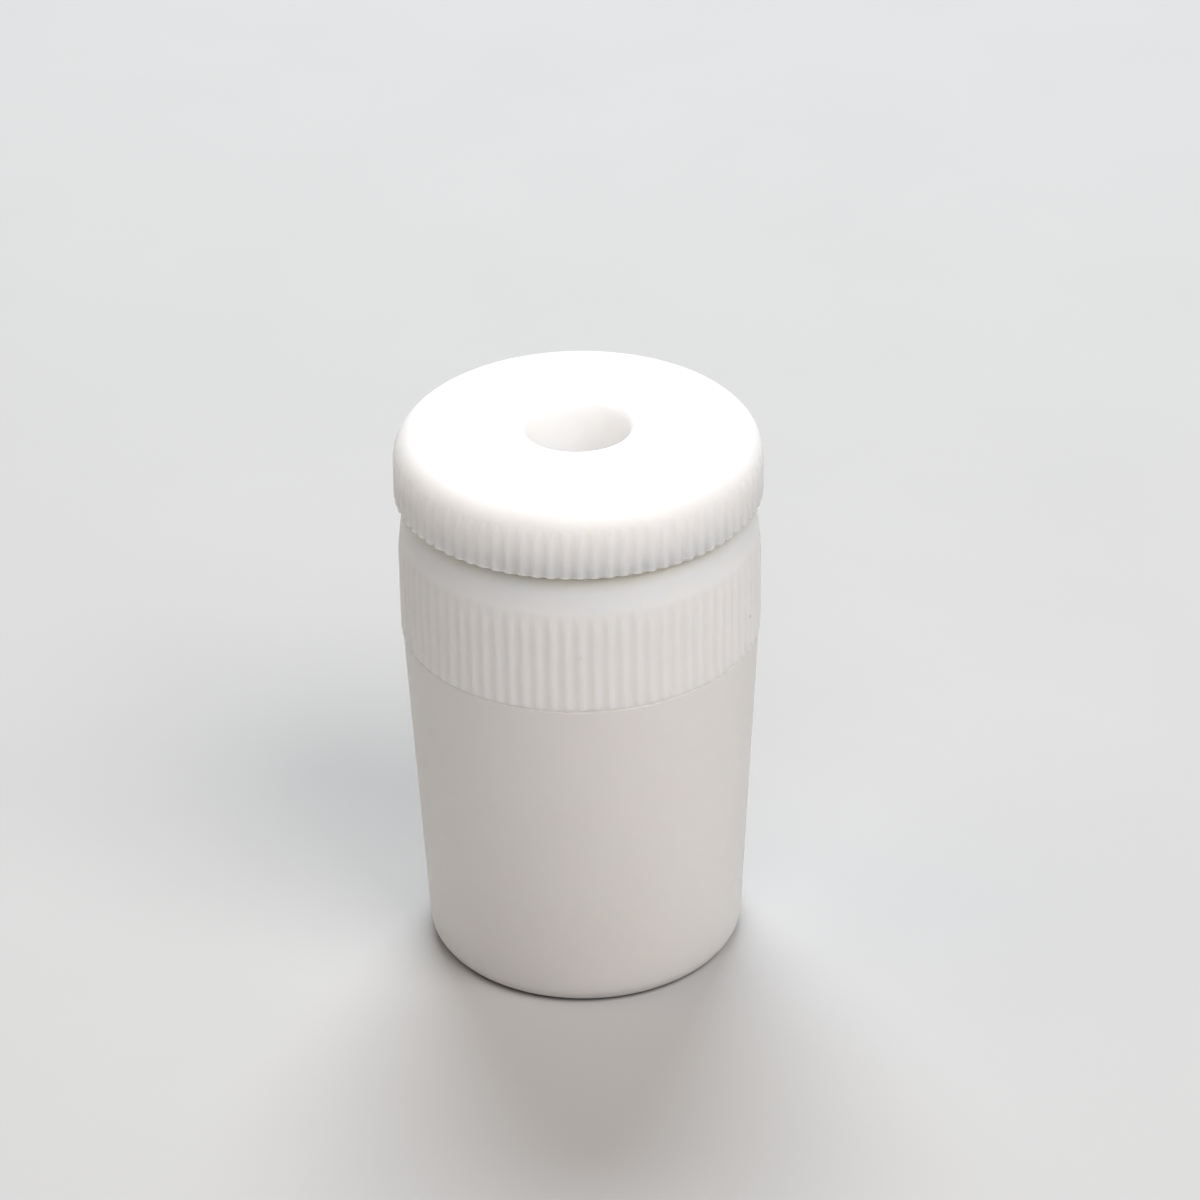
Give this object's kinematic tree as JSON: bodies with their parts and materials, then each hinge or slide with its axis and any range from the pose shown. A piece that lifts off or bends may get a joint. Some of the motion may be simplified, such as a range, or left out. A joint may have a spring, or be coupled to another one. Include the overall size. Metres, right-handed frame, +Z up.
{
  "type": "screw-down stirrer gland",
  "caption": "Screw-down stirrer gland: a tapered cone with a ribbed collar and a ribbed screw cap with a central shaft hole over a stack of seal rings.",
  "frame": {"origin": "centre of the small bottom face of the cone, on the shaft axis", "axes": "+Z up along the shaft axis, from the small end of the cone to the cap"},
  "size_m": [0.0352, 0.0352, 0.0561],
  "materials": {
    "ptfe_body": "satin, waxy PTFE",
    "ptfe_cap": "satin, waxy PTFE",
    "ptfe_ring": "satin, waxy PTFE",
    "seal_rubber": "matt black fluoro rubber"
  },
  "bodies": {
    "gland": {"gland_body": "ptfe_body", "seat_ring": "ptfe_ring", "o_ring_1": "seal_rubber", "spacer_ring_1": "ptfe_ring", "o_ring_2": "seal_rubber", "spacer_ring_2": "ptfe_ring", "o_ring_3": "seal_rubber"},
    "follower": {"thrust_ring": "ptfe_ring"},
    "cap": {"gland_cap": "ptfe_cap"}
  },
  "joints": [
    {"name": "cap_lift", "type": "slide", "parent": "gland", "child": "follower", "axis": [0, 0, 1], "range_m": [0, 0.01]},
    {"name": "cap_turn", "type": "hinge", "parent": "follower", "child": "cap", "pos_m": [0, 0, 0.05], "axis": [0, 0, 1], "range_deg": [0, 1440]}
  ],
  "couplings": [
    {"joint": "cap_lift", "follows": "cap_turn", "m_per_rad": 0.00039789}
  ]
}
